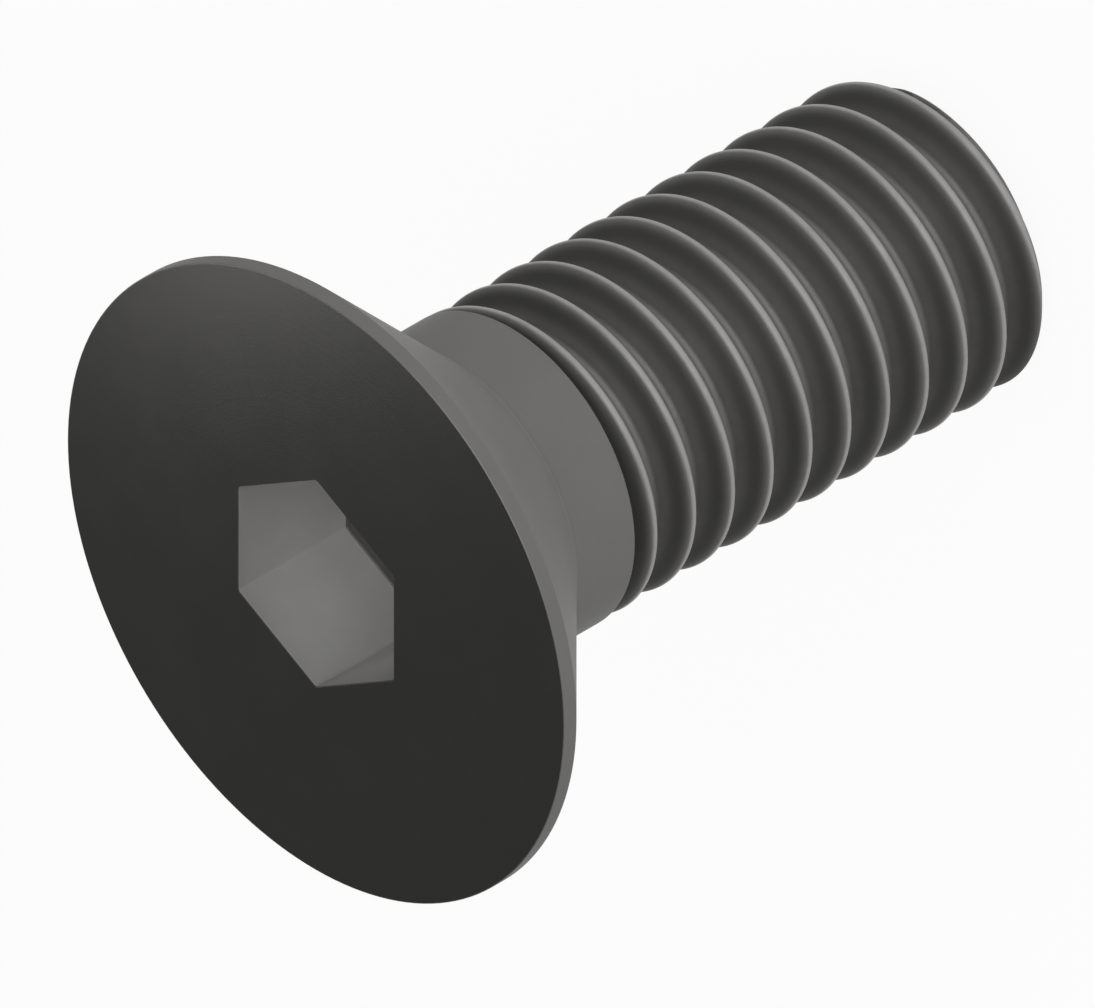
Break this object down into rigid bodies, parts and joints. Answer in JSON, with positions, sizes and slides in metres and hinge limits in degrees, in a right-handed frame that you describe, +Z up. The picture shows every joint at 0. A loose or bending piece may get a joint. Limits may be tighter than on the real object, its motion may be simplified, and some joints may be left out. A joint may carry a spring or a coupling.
{
  "type": "countersunk screw",
  "caption": "Countersunk machine screw with a hexagon socket, a plain neck and a right-hand metric thread, for fastening flush with a surface.",
  "frame": {"origin": "middle of the flat end of the tip, on which the screw stands", "axes": "+Z is up along the screw's axis, from the tip to the head; a corner of the hexagon socket lies on each side along X"},
  "size_m": [0.016, 0.016, 0.02],
  "materials": {
    "blackened_steel": "black oxide on cold-formed alloy steel, satin"
  },
  "bodies": {
    "root": {"countersunk_screw": "blackened_steel"}
  },
  "joints": []
}
